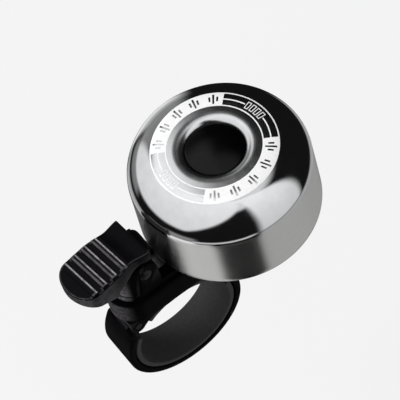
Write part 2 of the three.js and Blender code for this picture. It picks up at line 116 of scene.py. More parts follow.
def arc(cx, cy, radius, start, end, steps):
    """Points on an arc, with the angles in degrees."""
    points = []
    for i in range(steps + 1):
        angle = math.radians(start + (end - start) * i / steps)
        points.append((cx + radius * math.cos(angle), cy + radius * math.sin(angle)))
    return points


def rounded(points, radius, steps=4):
    """A closed outline with each corner rounded."""
    result = []
    count = len(points)
    for i, corner in enumerate(points):
        before = Vector(points[i - 1]) - Vector(corner)
        after = Vector(points[(i + 1) % count]) - Vector(corner)
        reach = min(radius, before.length * 0.49, after.length * 0.49)
        a = Vector(corner) + before.normalized() * reach
        b = Vector(corner) + after.normalized() * reach
        for k in range(steps + 1):
            t = k / steps
            p = a * (1 - t) ** 2 + Vector(corner) * 2 * t * (1 - t) + b * t ** 2
            result.append((p.x, p.y))
    return result


def turned(name, profile, place, segments=96, sharp=35):
    """A closed (radius, height) profile turned about its axis; place maps (x, y, h) into the frame."""
    verts, faces = [], []
    count = len(profile)
    for s in range(segments):
        angle = TURN * s / segments
        for r, h in profile:
            verts.append(place(r * math.cos(angle), r * math.sin(angle), h))
    for s in range(segments):
        n = (s + 1) % segments
        for i in range(count):
            j = (i + 1) % count
            faces.append((s * count + i, s * count + j, n * count + j, n * count + i))
    obj = make_object(name, verts, faces, sharp)
    bm = bmesh.new()
    bm.from_mesh(obj.data)
    bmesh.ops.dissolve_degenerate(bm, edges=bm.edges, dist=1e-7)
    bm.to_mesh(obj.data)
    bm.free()
    obj.data.set_sharp_from_angle(angle=math.radians(sharp))
    return obj


def about_z(y, x=0.0):
    """Places a turned profile on an upright axis."""
    return lambda a, b, h: (x + a, y + b, h)


def about_x(y, z):
    """Places a turned profile on an axis along X."""
    return lambda a, b, h: (h, y + a, z + b)


def rings(name, loops, sharp=35):
    """A solid skinned over a list of closed loops with equal point counts, capped at both ends."""
    verts = [p for loop in loops for p in loop]
    count = len(loops[0])
    faces = [tuple(range(count)), tuple(range(len(verts) - count, len(verts)))]
    for k in range(len(loops) - 1):
        for i in range(count):
            j = (i + 1) % count
            a, b = k * count, (k + 1) * count
            faces.append((a + i, a + j, b + j, b + i))
    return make_object(name, verts, faces, sharp)


def edge_profile(z0, z1, radius, steps=4):
    """(inset, height) pairs of a vertical wall whose lower and upper edges are rounded."""
    low = [(radius - x, z0 + radius + y) for x, y in arc(0, 0, radius, -90, 0, steps)]
    high = [(radius - x, z1 - radius + y) for x, y in arc(0, 0, radius, 0, 90, steps)]
    return low + high


def stadium(half, y0, y1, steps=24):
    """An outline with straight sides along Y and half-round ends."""
    return arc(0, y1 - half, half, 0, 180, steps) + arc(0, y0 + half, half, 180, 360, steps)


def stadium_block(name, half, y0, y1, profile):
    """An upright block with a stadium outline, following (inset, height) pairs."""
    loops = []
    for inset, z in profile:
        outline = stadium(half - inset, y0 + inset, y1 - inset)
        loops.append([(x, y, z) for x, y in outline])
    return rings(name, loops)


def slab_x(name, outline, x0, x1, radius, steps=3):
    """An outline in the YZ plane, extruded along X, with its rims bevelled."""
    loops = [[(x, y, z) for y, z in outline] for x in (x0, x1)]
    obj = rings(name, loops)
    if radius:
        bevel(obj, radius, steps)
    return obj


def slab_z(name, outline, z0, z1, radius, steps=3):
    """The same, with the outline in the XY plane and extruded along Z."""
    loops = [[(x, y, z) for x, y in outline] for z in (z0, z1)]
    obj = rings(name, loops)
    if radius:
        bevel(obj, radius, steps)
    return obj


def block(name, x0, x1, y0, y1, z0, z1, radius=0.0):
    return slab_z(name, [(x0, y0), (x1, y0), (x1, y1), (x0, y1)], z0, z1, radius)


def apply_modifiers(obj):
    """Puts the result of the modifiers in place of the mesh."""
    graph = bpy.context.evaluated_depsgraph_get()
    mesh = bpy.data.meshes.new_from_object(obj.evaluated_get(graph))
    obj.modifiers.clear()
    old = obj.data
    obj.data = mesh
    bpy.data.meshes.remove(old)


def bevel(obj, width, steps=3, angle=40):
    mod = obj.modifiers.new("bevel", "BEVEL")
    mod.width = width * MM
    mod.segments = steps
    mod.limit_method = "ANGLE"
    mod.angle_limit = math.radians(angle)
    apply_modifiers(obj)
    tidy(obj)
    return obj


def combine(obj, other, operation):
    """A boolean that uses up the other object."""
    mod = obj.modifiers.new("join", "BOOLEAN")
    mod.operation = operation
    mod.solver = "EXACT"
    mod.object = other
    apply_modifiers(obj)
    bpy.data.objects.remove(other)
    return obj


def add(obj, *others):
    for other in others:
        combine(obj, other, "UNION")
    tidy(obj)
    return obj


def cut(obj, *others):
    for other in others:
        combine(obj, other, "DIFFERENCE")
    tidy(obj)
    return obj


def rod_profile(radius, low, high, edge):
    """(radius, height) pairs of a rod with chamfered rims."""
    inner = radius - edge
    return [(0, low), (inner, low), (radius, low + edge), (radius, high - edge), (inner, high), (0, high)]


def rod_x(name, y, z, radius, x0, x1, edge=0.15, segments=48):
    return turned(name, rod_profile(radius, x0, x1, edge), about_x(y, z), segments)


def rod_z(name, y, radius, z0, z1, edge=0.15, x=0.0, segments=48):
    return turned(name, rod_profile(radius, z0, z1, edge), about_z(y, x), segments)


# ---- materials -------------------------------------------------------------------------
PAINTED_HIGHLIGHT_GREY = (0.25, 0.235, 0.25, 1)  # colour of painted highlights and painted light on black plastic
FAR_EDGE_HIGHLIGHT = 0.30  # share of the painted highlight colour on a rib's far edge and ends
RIM_HIGHLIGHT = 0.14  # painted highlight on the plate's rounded rim
WALL_PAINTED_LIGHT = 0.16  # painted light on the plate's side walls
END_PAINTED_LIGHT = 0.19  # painted light on the base's rounded end
NOSE_PAINTED_LIGHT = 0.7  # painted light on the cheeks' nose
RIB_COUNT = 4
RIB_PITCH = 2.75
LAST_RIB = (RIB_COUNT - 1) * RIB_PITCH
RIB_LAND = 1.05  # width of a rib's flat top
RIB_H = 0.55  # height of a rib
BEND_Y = -8.2  # the plate bends down here
RIB_Y = BEND_Y - 0.65  # the first rib starts here
RIB_SKEW = 0.11  # the ribs lean this much: mm of y for each mm of x
RIB_END = 5.15  # the ribs are rounded off at this x


class Nodes:
    """Small helper for building a node material."""

    def __init__(self, name):
        self.material = bpy.data.materials.new(name)
        self.material.use_nodes = True
        self.tree = self.material.node_tree
        self.shader = self.tree.nodes["Principled BSDF"]
        self.position = self.tree.nodes.new("ShaderNodeTexCoord").outputs["Object"]

    def node(self, kind, inputs=(), **settings):
        node = self.tree.nodes.new(kind)
        for key, value in settings.items():
            setattr(node, key, value)
        for key, value in dict(inputs).items():
            if isinstance(value, bpy.types.NodeSocket):
                self.tree.links.new(value, node.inputs[key])
            else:
                node.inputs[key].default_value = value
        return node

    def scaled(self, x, y, z):
        node = self.node("ShaderNodeMapping", {"Vector": self.position, "Scale": (x, y, z)})
        return node.outputs[0]

    def noise(self, vector, scale, detail=3.0, rough=0.5):
        inputs = {"Vector": vector, "Scale": scale, "Detail": detail, "Roughness": rough}
        return self.node("ShaderNodeTexNoise", inputs).outputs["Fac"]

    def remap(self, value, low, high, to_low, to_high, smooth=False):
        inputs = {"Value": value, "From Min": low, "From Max": high, "To Min": to_low, "To Max": to_high}
        kind = "SMOOTHSTEP" if smooth else "LINEAR"
        return self.node("ShaderNodeMapRange", inputs, interpolation_type=kind).outputs["Result"]

    def math(self, operation, a, b=0.0, c=0.0):
        return self.node("ShaderNodeMath", {0: a, 1: b, 2: c}, operation=operation).outputs[0]

    def mix(self, factor, a, b):
        node = self.node("ShaderNodeMix", {0: factor, 6: a, 7: b}, data_type="RGBA")
        return node.outputs[2]

    def bump(self, height, strength, distance):
        inputs = {"Height": height, "Strength": strength, "Distance": distance * MM}
        return self.node("ShaderNodeBump", inputs).outputs[0]

    def set(self, **values):
        names = {
            "color": "Base Color", "metallic": "Metallic", "roughness": "Roughness", "normal": "Normal",
            "specular": "Specular IOR Level", "coat": "Coat Weight", "coat_roughness": "Coat Roughness",
            "anisotropic": "Anisotropic", "tangent": "Tangent",
        }
        for key, value in values.items():
            socket = self.shader.inputs[names[key]]
            if isinstance(value, bpy.types.NodeSocket):
                self.tree.links.new(value, socket)
            else:
                socket.default_value = value
        return self.material


def grey(value, blue=0.0):
    """A grey colour, with a little more blue if asked."""
    return (value, value, value + blue, 1.0)


def from_axis(m):
    """Distance from the bell axis in millimetres."""
    centre = m.node("ShaderNodeCombineXYZ", {"X": 0.0, "Y": DOME_Y * MM, "Z": 0.0}).outputs[0]
    offset = m.node("ShaderNodeVectorMath", {0: m.position, 1: centre}, operation="SUBTRACT").outputs[0]
    flat = m.node("ShaderNodeVectorMath", {0: offset, 1: (1, 1, 0)}, operation="MULTIPLY").outputs[0]
    length = m.node("ShaderNodeVectorMath", {0: flat}, operation="LENGTH").outputs["Value"]
    return m.math("DIVIDE", length, MM)


def polished_chrome():
    """Mirror-like on the shoulder, satin towards the well and most inside the ring, with a fine grain."""
    m = Nodes("chrome_polished")
    radius = from_axis(m)
    satin = m.remap(radius, 8.6, 15.5, 0.14, 0.075, smooth=True)
    cloud = m.noise(m.position, 420, 4)
    satin = m.math("ADD", satin, m.remap(radius, 8.3, 8.7, 0.09, 0.0, smooth=True))
    roughness = m.math("ADD", satin, m.remap(cloud, 0.3, 0.7, -0.012, 0.02))
    grain = m.noise(m.position, 6500, 2)
    tint = m.mix(m.remap(cloud, 0.3, 0.7, 0, 1), (0.80, 0.805, 0.82, 1), (0.86, 0.865, 0.875, 1))
    return m.set(color=tint, metallic=1.0, roughness=roughness, normal=m.bump(grain, 0.12, 0.02))


def brushed_chrome():
    """Fine lines round the skirt, with reflections drawn out up and down it."""
    m = Nodes("chrome_brushed")
    lines = m.noise(m.scaled(60, 60, 9000), 1, 3, 0.6)
    fine = m.noise(m.scaled(200, 200, 26000), 1, 2)
    both = m.math("ADD", m.math("MULTIPLY", lines, 0.65), m.math("MULTIPLY", fine, 0.35))
    tangent = m.node("ShaderNodeTangent", direction_type="RADIAL", axis="Z").outputs[0]
    tint = m.mix(m.remap(both, 0.35, 0.65, 0, 1), (0.76, 0.76, 0.745, 1), (0.84, 0.84, 0.825, 1))
    rough = m.remap(both, 0.35, 0.65, 0.19, 0.25)
    m.set(color=tint, metallic=1.0, roughness=rough, normal=m.bump(both, 0.12, 0.012))
    m.shader.inputs["Anisotropic Rotation"].default_value = 0.25
    return m.set(anisotropic=0.85, tangent=tangent)


def dull_chrome():
    """The thin, cloudy plating on the dome's inside."""
    m = Nodes("chrome_inside")
    cloud = m.noise(m.position, 260, 4)
    tint = m.mix(cloud, (0.42, 0.42, 0.42, 1), (0.6, 0.6, 0.59, 1))
    rough = m.remap(cloud, 0.3, 0.7, 0.32, 0.5)
    return m.set(color=tint, metallic=1.0, roughness=rough, normal=m.bump(cloud, 0.2, 0.05))


def print_ink():
    """White ink with a fine speckle."""
    m = Nodes("print_ink")
    speck = m.noise(m.position, 3000, 3)
    tint = m.mix(m.remap(speck, 0.35, 0.7, 0, 1), (0.86, 0.86, 0.86, 1), (0.95, 0.95, 0.95, 1))
    return m.set(color=tint, roughness=0.42, normal=m.bump(speck, 0.15, 0.01))


def black_plastic(name, low, high, roughness, grain, shine, edge_highlight=0.0, painted_light=lambda m: 0.0):
    """Moulded plastic: a fine skin texture, uneven gloss, painted highlights on its convex edges, and more
    painted light from the function passed in.
    """
    m = Nodes(name)
    skin = m.noise(m.position, 1500, 3)
    cloud = m.noise(m.position, 180, 3)
    tint = m.mix(m.remap(cloud, 0.3, 0.7, 0, 1), low, high)
    rough = m.remap(m.math("ADD", skin, cloud), 0.7, 1.3, roughness - 0.05, roughness + 0.07)
    # Painted highlights: convex edges, found by pointiness, and the painted light passed in are mixed
    # toward a light grey, broken into uneven patches.
    point = m.node("ShaderNodeNewGeometry").outputs["Pointiness"]
    patch = m.remap(m.noise(m.position, 900, 3), 0.35, 0.6, 0.5, 1.0)
    edges = m.math("MULTIPLY", m.remap(point, 0.53, 0.60, 0.0, 1.0, smooth=True), edge_highlight)
    painted_share = m.math("MAXIMUM", edges, painted_light(m))
    tint = m.mix(m.math("MULTIPLY", painted_share, patch), tint, PAINTED_HIGHLIGHT_GREY)
    return m.set(color=tint, roughness=rough, normal=m.bump(skin, grain, 0.03), specular=shine)


def facing_parts(m):
    """The surface's direction, as three sockets."""
    return m.node("ShaderNodeSeparateXYZ", {0: m.node("ShaderNodeNewGeometry").outputs["Normal"]}).outputs


def base_painted_light(m):
    """Painted light: the faces at the rider's end of the base that face the rider are lighter grey, most
    on the cheeks' nose.
    """
    _, y, z = m.node("ShaderNodeSeparateXYZ", {0: m.position}).outputs
    y, z = m.math("DIVIDE", y, MM), m.math("DIVIDE", z, MM)
    front = m.remap(facing_parts(m)[1], -0.92, -0.40, 1, 0, smooth=True)
    end = m.math("MULTIPLY", front, m.remap(y, -10.4, -9.0, 1, 0))
    strength = m.remap(z, LEDGE_Z + 0.1, LEDGE_Z + 0.4, END_PAINTED_LIGHT, NOSE_PAINTED_LIGHT)
    above = m.remap(z, BASE_Z0 - 0.1, BASE_Z0 + 0.1, 0, 1)
    return m.math("MULTIPLY", m.math("MULTIPLY", end, strength), above)


def rib_painted_highlights(m):
    """Painted highlights and painted light: strong on each rib's edge by the dome, faint on its other
    edge, its ends and the side walls, with a thin line along the plate's rounded rim.
    """
    x, y, _ = m.node("ShaderNodeSeparateXYZ", {0: m.position}).outputs
    x, y = m.math("DIVIDE", x, MM), m.math("DIVIDE", y, MM)
    lean = m.math("MULTIPLY", x, RIB_SKEW)
    along = m.math("SUBTRACT", m.math("ADD", lean, RIB_Y + 0.2), y)
    place = m.math("MULTIPLY", m.math("FRACT", m.math("DIVIDE", along, RIB_PITCH)), RIB_PITCH)

    def stripe(value, middle, inner, outer):
        away = m.math("ABSOLUTE", m.math("SUBTRACT", value, middle))
        return m.remap(away, inner, outer, 1, 0, smooth=True)

    side = m.math("ABSOLUTE", x)
    on_rib = m.remap(side, RIB_END + 0.15, RIB_END + 0.35, 1, 0)
    crest = stripe(place, 0.36, 0.12, 0.36)
    last = m.remap(along, LAST_RIB - 0.1, LAST_RIB, 1, 0)
    far = m.math("MULTIPLY", m.math("MULTIPLY", stripe(place, 1.30, 0.08, 0.36), last), FAR_EDGE_HIGHLIGHT)
    on_crest = m.remap(place, 1.3, 1.6, FAR_EDGE_HIGHLIGHT, 0)
    end = m.math("MULTIPLY", stripe(side, RIB_END + 0.1, 0.05, 0.28), on_crest)
    both = m.math("MAXIMUM", m.math("MULTIPLY", m.math("MAXIMUM", crest, far), on_rib), end)
    past_first = m.remap(along, 0.0, 0.1, 0, 1)
    before_end = m.remap(along, LAST_RIB + 1.6, LAST_RIB + 1.7, 1, 0)
    ribbed = m.math("MULTIPLY", past_first, before_end)
    up = facing_parts(m)[2]
    facing = m.remap(up, 0.25, 0.6, 0, 1)
    ribs = m.math("MULTIPLY", m.math("MULTIPLY", both, facing), ribbed)
    near_tip = m.remap(along, LAST_RIB + 2, LAST_RIB + 2.2, 0, 1)
    near_rim = m.math("MAXIMUM", m.remap(side, 4.8, 5.0, 0, 1), near_tip)
    rim = m.math("MULTIPLY", m.math("MULTIPLY", stripe(up, 0.75, 0.06, 0.2), near_rim), RIM_HIGHLIGHT)
    wall = m.math("MULTIPLY", m.remap(m.math("ABSOLUTE", up), 0.15, 0.4, 1, 0), WALL_PAINTED_LIGHT)
    wall = m.math("MULTIPLY", wall, m.remap(along, 2.5, 6.0, 0.1, 1, smooth=True))
    return m.math("MAXIMUM", m.math("MAXIMUM", ribs, rim), wall)


def rubber():
    """Matt black rubber with a rough skin."""
    m = Nodes("rubber_matt")
    skin = m.noise(m.position, 1200, 4, 0.7)
    tint = m.mix(skin, grey(0.02), grey(0.045))
    return m.set(color=tint, roughness=0.82, normal=m.bump(skin, 0.5, 0.06), specular=0.3)


def metal(name, low, high, roughness, stretch=(1, 1, 1), strength=0.25):
    """Plated or drawn metal, with fine marks along one direction and uneven gloss."""
    m = Nodes(name)
    marks = m.noise(m.scaled(*stretch), 700, 4, 0.6)
    cloud = m.noise(m.position, 240, 3)
    tint = m.mix(m.remap(cloud, 0.3, 0.7, 0, 1), low, high)
    rough = m.remap(marks, 0.3, 0.7, roughness - 0.05, roughness + 0.1)
    return m.set(color=tint, metallic=1.0, roughness=rough, normal=m.bump(marks, strength, 0.02))


CHROME_TOP = polished_chrome()
CHROME_SKIRT = brushed_chrome()
CHROME_INSIDE = dull_chrome()
INK = print_ink()
# The base's plastic carries painted highlights on its edges and painted light on the faces at its rider's
# end.
BASE_BLACK = black_plastic(
    "base_black", grey(0.001, 0.0002), grey(0.0025, 0.0004),
    roughness=0.40, grain=0.16, shine=0.01, edge_highlight=0.05, painted_light=base_painted_light,
)
# The lever's plastic carries painted highlights on its edges, ribs and rim, and painted light on its side
# walls.
LEVER_BLACK = black_plastic(
    "lever_black", grey(0.0008, 0.0004), grey(0.0018, 0.0008),
    roughness=0.30, grain=0.12, shine=0.07, edge_highlight=0.2, painted_light=rib_painted_highlights,
)
CAP_BLACK = black_plastic(
    "cap_black", grey(0.0008), grey(0.0015, 0.0002), roughness=0.17, grain=0.04, shine=0.2,
)
BLACK_STEEL = metal("blackened_steel", grey(0.02, 0.001), grey(0.04, 0.002), 0.42)
RUBBER = rubber()
ZINC = metal("zinc_plate", grey(0.52, 0.01), grey(0.66, 0.02), 0.3)
SPRING = metal("spring_steel", grey(0.07), grey(0.12, 0.004), 0.36, (1, 3, 1))
BRASS = metal("turned_brass", (0.60, 0.40, 0.15, 1), (0.74, 0.53, 0.24, 1), 0.3, (3, 1, 1))


def finish_piece(obj, body, slot, materials, *nodes):
    """Gives a piece its materials and its place in the frame."""
    if not isinstance(materials, (list, tuple)):
        materials = [materials]
    obj.data.materials.clear()
    for material in materials:
        obj.data.materials.append(material)
    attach(obj, body)
    if nodes:
        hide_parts(*nodes)
    return obj


# ---- the dome --------------------------------------------------------------------------
CROWN_R = 240.0  # the top is very slightly domed
TOP_EDGE = 12.5  # where the shoulder starts
CREASE_R = 20.3  # where the shoulder ends
CREASE_SLOPE = 70.5  # in degrees, there
CORNER_H = 1.7  # height of the narrow band between the shoulder and the skirt
POLISHED_H = 1.35  # how much of that band has the top's polish
SKIRT_TOP_R = 20.66
SHOULDER_SLOPE = math.degrees(math.asin(TOP_EDGE / CROWN_R))
SINE_RANGE = math.sin(math.radians(CREASE_SLOPE)) - math.sin(math.radians(SHOULDER_SLOPE))
SHOULDER_R = (CREASE_R - TOP_EDGE) / SINE_RANGE
SHOULDER_C = TOP_EDGE - SHOULDER_R * math.sin(math.radians(SHOULDER_SLOPE))
SHOULDER_Z = DOME_H - TOP_EDGE ** 2 / (2 * CROWN_R) - SHOULDER_R * math.cos(math.radians(SHOULDER_SLOPE))
WELL_R = 6.8
SEAT_Z = 15.6  # height of the well's floor above the rim
SCREW_HOLE_R = 3.4
WELL_OUTER_R = 8.2  # radius of the well's wall on the hidden side
FUNNEL_EDGE = 9.2  # the top starts to turn down into the well here
FUNNEL_STEEP = 65.0  # its slope at the well's wall


def crown_z(r):
    """Height of the dome's outer face above the rim, on the top and the shoulder."""
    if r <= TOP_EDGE:
        return DOME_H - r ** 2 / (2 * CROWN_R)
    return SHOULDER_Z + math.sqrt(max(SHOULDER_R ** 2 - (r - SHOULDER_C) ** 2, 0))


def funnel():
    """The top's smooth turn down into the well."""
    points = []
    steps = 24
    step = (FUNNEL_EDGE - WELL_R) / steps
    z = crown_z(FUNNEL_EDGE)
    for i in range(1, steps + 1):
        slope = FUNNEL_STEEP * ((i - 0.5) / steps) ** 2.5
        z -= step * math.tan(math.radians(slope))
        points.append((FUNNEL_EDGE - i * step, z))
    return points


def skirt_profile():
    """From the rounded rim up the skirt and round the band under the shoulder."""
    crease = crown_z(CREASE_R)
    rim_h, top_h = 0.35, crease - CORNER_H
    rim = [(DOME_R - 0.35, 0.0), (DOME_R - 0.1, 0.1), (DOME_R, rim_h)]
    rows = 14
    skirt = []
    for t in range(1, rows + 1):
        skirt.append((DOME_R + (SKIRT_TOP_R - DOME_R) * t / rows, rim_h + (top_h - rim_h) * t / rows))
    corner = [(20.615, crease - 1.3), (20.53, crease - 0.8), (20.4, crease - 0.3)]
    return rim + skirt + corner


def well_profile():
    """Down the well, through the screw's hole, and back up the well's hidden side."""
    under = SEAT_Z - DOME_T
    wall = [(WELL_R, SEAT_Z + 0.5), (WELL_R - 0.15, SEAT_Z + 0.15), (WELL_R - 0.5, SEAT_Z)]
    mouth = SCREW_HOLE_R + 0.2
    hole = [(mouth, SEAT_Z), (SCREW_HOLE_R, SEAT_Z - 0.2), (SCREW_HOLE_R, under + 0.2), (mouth, under)]
    back = [(WELL_OUTER_R - 0.6, under), (WELL_OUTER_R - 0.15, under + 0.25), (WELL_OUTER_R, under + 0.7)]
    return wall + hole + back


def dome_profile():
    """The whole section of the dome, from the rim over the top, into the well and back inside."""
    outer_start, outer_end = 90 - CREASE_SLOPE, 90 - SHOULDER_SLOPE
    shoulder = arc(SHOULDER_C, SHOULDER_Z, SHOULDER_R, outer_start, outer_end, 30)
    top = [(r, crown_z(r)) for r in (12.0, 11.5, 11.0, 10.5, 10.0, 9.5, FUNNEL_EDGE)]
    inner_top = [(WELL_OUTER_R, 20.2), (8.5, 20.8), (9.1, 21.1), (TOP_EDGE, 20.95)]
    inside = arc(SHOULDER_C, SHOULDER_Z, SHOULDER_R - DOME_T, outer_end, outer_start + 4, 16)
    inner_r = DOME_R - DOME_T
    skirt_in = [(SKIRT_TOP_R - DOME_T, crown_z(CREASE_R) - CORNER_H)]
    skirt_in += [(inner_r, 0.4), (inner_r + 0.1, 0.1), (inner_r + 0.4, 0.0)]
    outer = skirt_profile() + shoulder + top + funnel()
    return outer + well_profile() + inner_top + inside + skirt_in


def bell_dome():
    """The dome: polished on top, brushed on the skirt, dull inside."""
    place = lambda a, b, h: (a, DOME_Y + b, RIM_Z + h)
    obj = turned("chrome_dome", dome_profile(), place, 256, 28)
    finish_piece(obj, "base", "chromed_dome", [CHROME_TOP, CHROME_SKIRT, CHROME_INSIDE], "bell_dome")
    brushed_top = crown_z(CREASE_R) - POLISHED_H
    for face in obj.data.polygons:
        c = face.center / MM - Vector((0, DOME_Y, RIM_Z))
        radius = math.hypot(c.x, c.y)
        outward = face.normal.x * c.x + face.normal.y * c.y
        in_well = radius < (WELL_R + WELL_OUTER_R) / 2
        hidden_side = face.normal.z < 0.05 and (outward < 0) != in_well
        if outward > 0 and c.z < brushed_top and radius > CREASE_R - 0.4:
            face.material_index = 1
        elif hidden_side or face.normal.z < -0.3:
            face.material_index = 2
    return obj


# ---- the printed ring ------------------------------------------------------------------
PRINT_T = 0.03  # the ink reaches this far above and below the dome's face
RING_IN, RING_OUT = 10.55, 14.25
LINE = 0.27  # width of a printed line
MARK = 1.05  # half angle of a bar left bare, in degrees
BARS = [(-4.0, 0.65), (0.0, 1.3), (4.0, 0.65)]  # a group's angles and half heights
PLAIN_ARCS = [(134.0, 235.0), (-47.0, 58.5)]
OUTLINED_ARCS = [(58.5, 134.0, 97.0), (235.0, 313.0, 270.0)]


def print_patches():
    """(r0, r1, a0, a1) patches, in millimetres and degrees, of a plain ring pattern with no lettering."""
    patches = []
    for a0, a1 in PLAIN_ARCS:
        patches += wave_arc(a0, a1)
    for a0, a1, middle in OUTLINED_ARCS:
        patches += outlined_arc(a0, a1, middle)
    return patches


def wave_arc(a0, a1):
    """A white arc with groups of three bars left bare: short, tall, short."""
    bars = []
    groups = 5
    for g in range(groups):
        centre = a0 + (a1 - a0) * (g + 0.5) / groups
        for offset, reach in BARS:
            bars.append((centre + offset - MARK, centre + offset + MARK, reach))
    middle = (RING_IN + RING_OUT) / 2
    patches = []
    cursor = a0
    for b0, b1, reach in bars:
        patches.append((RING_IN, RING_OUT, cursor, b0))
        patches.append((RING_IN, middle - reach, b0, b1))
        patches.append((middle + reach, RING_OUT, b0, b1))
        cursor = b1
    patches.append((RING_IN, RING_OUT, cursor, a1))
    return patches


def outlined_arc(a0, a1, centre):
    """Two border lines and a middle line, broken by four small outlined boxes."""
    patches = [(RING_IN, RING_IN + LINE, a0, a1), (RING_OUT - LINE, RING_OUT, a0, a1)]
    middle = (RING_IN + RING_OUT) / 2
    half_span = 13.0
    patches.append((middle - LINE / 2, middle + LINE / 2, a0, centre - half_span))
    patches.append((middle - LINE / 2, middle + LINE / 2, centre + half_span, a1))
    boxes, pitch, half_angle, half_height = 4, 6.2, 2.2, 0.95
    for k in range(boxes):
        c = centre + (k - (boxes - 1) / 2) * pitch
        patches += outlined_box(c - half_angle, c + half_angle, middle - half_height, middle + half_height)
    return patches


def outlined_box(a0, a1, r0, r1):
    """Four strips round a box; thin is in millimetres, wide in degrees."""
    wide = 0.8
    thin = 0.17
    return [
        (r0, r0 + thin, a0, a1), (r1 - thin, r1, a0, a1),
        (r0 + thin, r1 - thin, a0, a0 + wide), (r0 + thin, r1 - thin, a1 - wide, a1),
    ]


def ring_print():
    """The ink, as thin patches that follow the dome's top."""
    verts, faces = [], []
    for r0, r1, a0, a1 in print_patches():
        columns = max(1, math.ceil((a1 - a0) / 1.5))
        rows = max(1, math.ceil((r1 - r0) / 0.5))
        start = len(verts)
        for lift in (-PRINT_T, PRINT_T):
            for i in range(columns + 1):
                angle = math.radians(a0 + (a1 - a0) * i / columns)
                for j in range(rows + 1):
                    r = r0 + (r1 - r0) * j / rows
                    z = RIM_Z + crown_z(r) + lift
                    verts.append((r * math.cos(angle), DOME_Y + r * math.sin(angle), z))
        layer = (columns + 1) * (rows + 1)
        at = lambda i, j, k: start + k * layer + i * (rows + 1) + j
        for i in range(columns):
            for j in range(rows):
                for k in (0, 1):
                    faces.append((at(i, j, k), at(i, j + 1, k), at(i + 1, j + 1, k), at(i + 1, j, k)))
        for i in range(columns):
            for j in (0, rows):
                faces.append((at(i, j, 0), at(i + 1, j, 0), at(i + 1, j, 1), at(i, j, 1)))
        for j in range(rows):
            for i in (0, columns):
                faces.append((at(i, j, 0), at(i, j + 1, 0), at(i, j + 1, 1), at(i, j, 1)))
    mesh = bpy.data.meshes.new("ring_print")
    mesh.from_pydata([[c * MM for c in v] for v in verts], [], faces)
    obj = bpy.data.objects.new("ring_print", mesh)
    bpy.context.scene.collection.objects.link(obj)
    bm = bmesh.new()
    bm.from_mesh(mesh)
    bmesh.ops.recalc_face_normals(bm, faces=bm.faces)
    bm.to_mesh(mesh)
    bm.free()
    return finish_piece(obj, "base", "white_ink", INK)


# ---- the cap in the well ---------------------------------------------------------------
def centre_cap():
    """A hollow cap with a slightly domed, glossy top."""
    low, high = node_mm("centre_cap")
    r = WELL_R - 0.12
    bottom, top = low[2], high[2] - 0.02
    crown = 26.0
    span = math.degrees(math.asin((r - 0.25) / crown))
    dome = arc(0, top - crown, crown, 90 - span, 90, 14)
    lip = dome[0][1]
    edge = [(r - 1, bottom), (r - 0.15, bottom), (r, bottom + 0.15)]
    edge += [(r, lip - 0.25), (r - 0.07, lip - 0.07)]
    inner = [(0, top - 1.2), (r - 1.3, top - 1.4), (r - 1, top - 1.7)]
    obj = turned("gloss_cap", edge + dome + inner, about_z(DOME_Y), 128)
    return finish_piece(obj, "base", "gloss_cap", CAP_BLACK, "centre_cap")


# ---- the thumb lever -------------------------------------------------------------------
PLATE_TOP = LEVER_HIGH[2]
PLATE_BACK = PIVOT_Y + 2.1
PLATE_TIP = LEVER_LOW[1] + 0.55
PLATE_T = 3.0  # thickness behind the bend
TIP_CENTRE = -17.3  # the round tip starts here
TIP_LENGTH = TIP_CENTRE - PLATE_TIP
SLOPE = 0.225  # of the ribbed part
HOOD_Y = -12.9  # the deep side walls end here, in front of the cheeks
HOOD_Z = 29.3  # height of their lower edge there
PLATE_EDGE = 0.55  # radius of the top's rounded rim
SKEW_BACK = 0.07  # lean of the plate's back end, like RIB_SKEW
HUB_X = (-2.85, 0.2)  # the hub fills one side of the base's slot


def smooth(t):
    """A smooth step from 0 to 1."""
    t = min(max(t, 0.0), 1.0)
    return t * t * (3 - 2 * t)


def skew(v):
    """How far a line across the plate leans: mm of y for each mm of x."""
    return SKEW_BACK + (RIB_SKEW - SKEW_BACK) * smooth((-3.0 - v) / 6.0)


def plate_width(v):
    """Half width of the thumb plate behind its tip: a slight waist, then the wide ribbed part."""
    return 5.95 - 0.7 * math.exp(-((v + 7.4) / 2.8) ** 2)


def plate_half(v):
    """Half width of the thumb plate, with its round tip."""
    tip = max(TIP_CENTRE - v, 0.0) / TIP_LENGTH
    return plate_width(v) * math.sqrt(max(1 - tip ** 2, 0.0))


def inside_plate(x, v):
    """Distance from a point on the plate to its outline."""
    width, tip = plate_width(v), max(TIP_CENTRE - v, 0.0)
    rho = math.hypot(x / width, tip / TIP_LENGTH)
    if rho < 0.5:
        return PLATE_EDGE * 3
    return (1 - rho) * rho / math.hypot(x / width ** 2, tip / TIP_LENGTH ** 2)


def edge_drop(inside, radius):
    """How far a rounded rim lies below the top, at a distance inside the outline."""
    gap = min(max(radius - inside, 0.0), radius)
    return radius - math.sqrt(radius ** 2 - gap ** 2)


def rib_height(v):
    """Ribs across the plate: a steep side towards the dome, a flat land, and a long slope to the rider."""
    along = RIB_Y - v
    if along < -0.2:
        return 0.0
    index = min(int((along + 0.2) / RIB_PITCH), RIB_COUNT - 1)
    s = along - index * RIB_PITCH
    rise = smooth((s + 0.2) / 0.28)
    fall = smooth((s - RIB_LAND) / 0.75)
    return RIB_H * rise * (1 - fall)


def plate_top(v):
    """Height of the plate's top between the ribs: a shallow dish, the bend, then the slope."""
    bend = smooth((BEND_Y + 0.6 - v) / 1.2)
    drop = (BEND_Y - v) * SLOPE if v < BEND_Y else 0.0
    dish = -0.18 * math.exp(-((v + 6.0) / 2.2) ** 2)
    return PLATE_TOP - drop * (0.5 + 0.5 * bend) + dish - 0.02


def plate_bottom(v):
    """The underside: deep walls at the front, then rising clear of the cheeks."""
    if v < HOOD_Y:
        return HOOD_Z + 0.27 * (HOOD_Y - v)
    return min(30.7 + 0.55 * (v - HOOD_Y), PLATE_TOP - PLATE_T)


